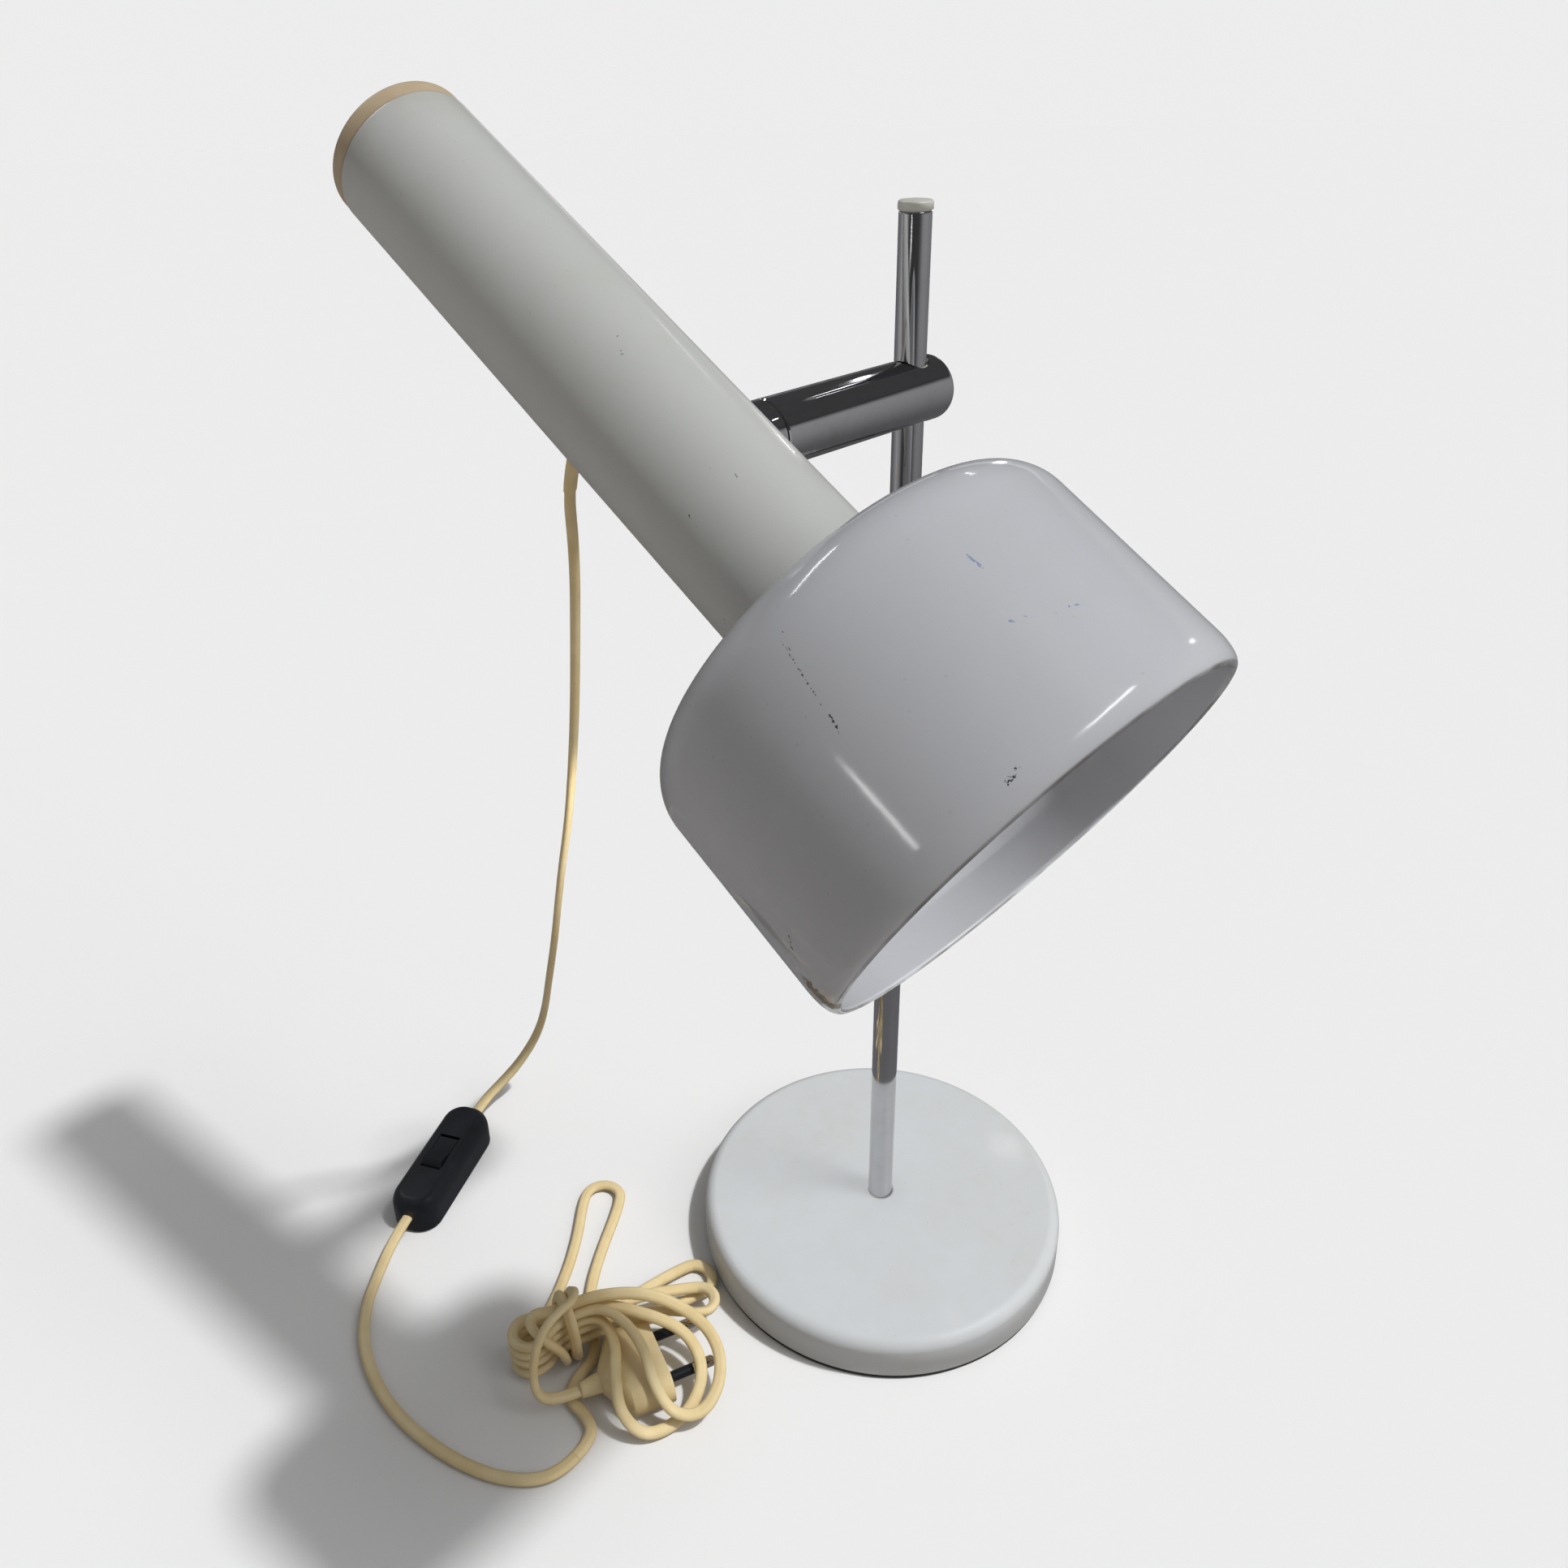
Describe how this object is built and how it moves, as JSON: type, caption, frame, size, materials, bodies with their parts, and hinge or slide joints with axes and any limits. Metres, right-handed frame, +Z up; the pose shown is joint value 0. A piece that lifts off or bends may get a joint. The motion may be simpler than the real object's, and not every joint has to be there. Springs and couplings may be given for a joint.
{
  "type": "desk lamp",
  "caption": "White enamel spot lamp with a cylindrical head on a chrome arm that slides, swivels and tilts on a stem, with cord, inline switch and plug.",
  "frame": {"origin": "centre of the foot's underside, on the stem's axis", "axes": "+Z up the stem; -X from the stem along the arm to the head; -Y towards the shade's mouth at rest"},
  "size_m": [0.2745, 0.3253, 0.4549],
  "materials": {
    "white_enamel": "semi-gloss",
    "cast_iron": "rough",
    "black_rubber": "matt",
    "chrome": "polished",
    "zinc_steel": "zinc plated",
    "nylon": "natural",
    "dark_washer": "matt",
    "cream_plastic": "satin",
    "black_phenolic": "semi-gloss",
    "ceramic": "glazed",
    "brass": "bright",
    "opal_glass": "frosted",
    "cord_plastic": "satin",
    "black_plastic": "satin"
  },
  "bodies": {
    "foot": {"base_cover": "white_enamel", "base_weight": "cast_iron", "base_pad": "black_rubber", "stem": "chrome", "stem_cap": "chrome", "stem_washer": "zinc_steel", "stem_nut": "zinc_steel", "switch_base": "black_plastic", "switch_cover": "black_plastic", "switch_pin": "zinc_steel", "switch_screw_a": "zinc_steel", "switch_screw_b": "zinc_steel", "cord_hanging": "cord_plastic", "cord_floor": "cord_plastic", "cord_bundle": "cord_plastic", "plug_body": "cord_plastic", "plug_pin_a": "brass", "plug_pin_b": "brass", "plug_sleeve_a": "black_plastic", "plug_sleeve_b": "black_plastic"},
    "slider": {"slider_bush": "nylon"},
    "arm": {"bracket_body": "chrome", "bracket_end_bush": "nylon", "friction_plunger": "brass", "friction_buffer": "black_rubber", "spring_seat": "zinc_steel"},
    "head": {"tilt_washer": "dark_washer", "tilt_collar": "chrome", "tilt_saddle": "zinc_steel", "tilt_stud": "zinc_steel", "tilt_spring_washer": "zinc_steel", "tilt_nut": "zinc_steel", "head_tube": "white_enamel", "rear_cap": "cream_plastic", "shade": "white_enamel", "shade_ring": "zinc_steel", "holder_plate": "zinc_steel", "holder_nipple": "zinc_steel", "holder_locknut": "zinc_steel", "lampholder_cap": "black_phenolic", "lampholder_insert": "ceramic", "lampholder_shell": "black_phenolic", "bulb_cap": "brass", "bulb_glass": "opal_glass", "cord_gland": "cord_plastic", "cord_clamp": "nylon", "inner_leads": "cord_plastic"},
    "rocker": {"switch_rocker": "black_plastic"}
  },
  "joints": [
    {"name": "height_slide", "type": "slide", "parent": "foot", "child": "slider", "axis": [0, 0, 1], "range_m": [-0.18, 0.04]},
    {"name": "arm_swivel", "type": "hinge", "parent": "slider", "child": "arm", "pos_m": [0, 0, 0.363], "axis": [0, 0, 1], "range_deg": [-120, 120]},
    {"name": "head_tilt", "type": "hinge", "parent": "arm", "child": "head", "pos_m": [-0.0645, 0, 0.363], "axis": [1, 0, 0], "range_deg": [-60, 60], "deforming": ["cord_hanging"]},
    {"name": "switch_rock", "type": "hinge", "parent": "foot", "child": "rocker", "pos_m": [-0.1214, 0.1547, 0.0115], "axis": [0.4772, -0.8788, 0], "range_deg": [0, 16]}
  ]
}
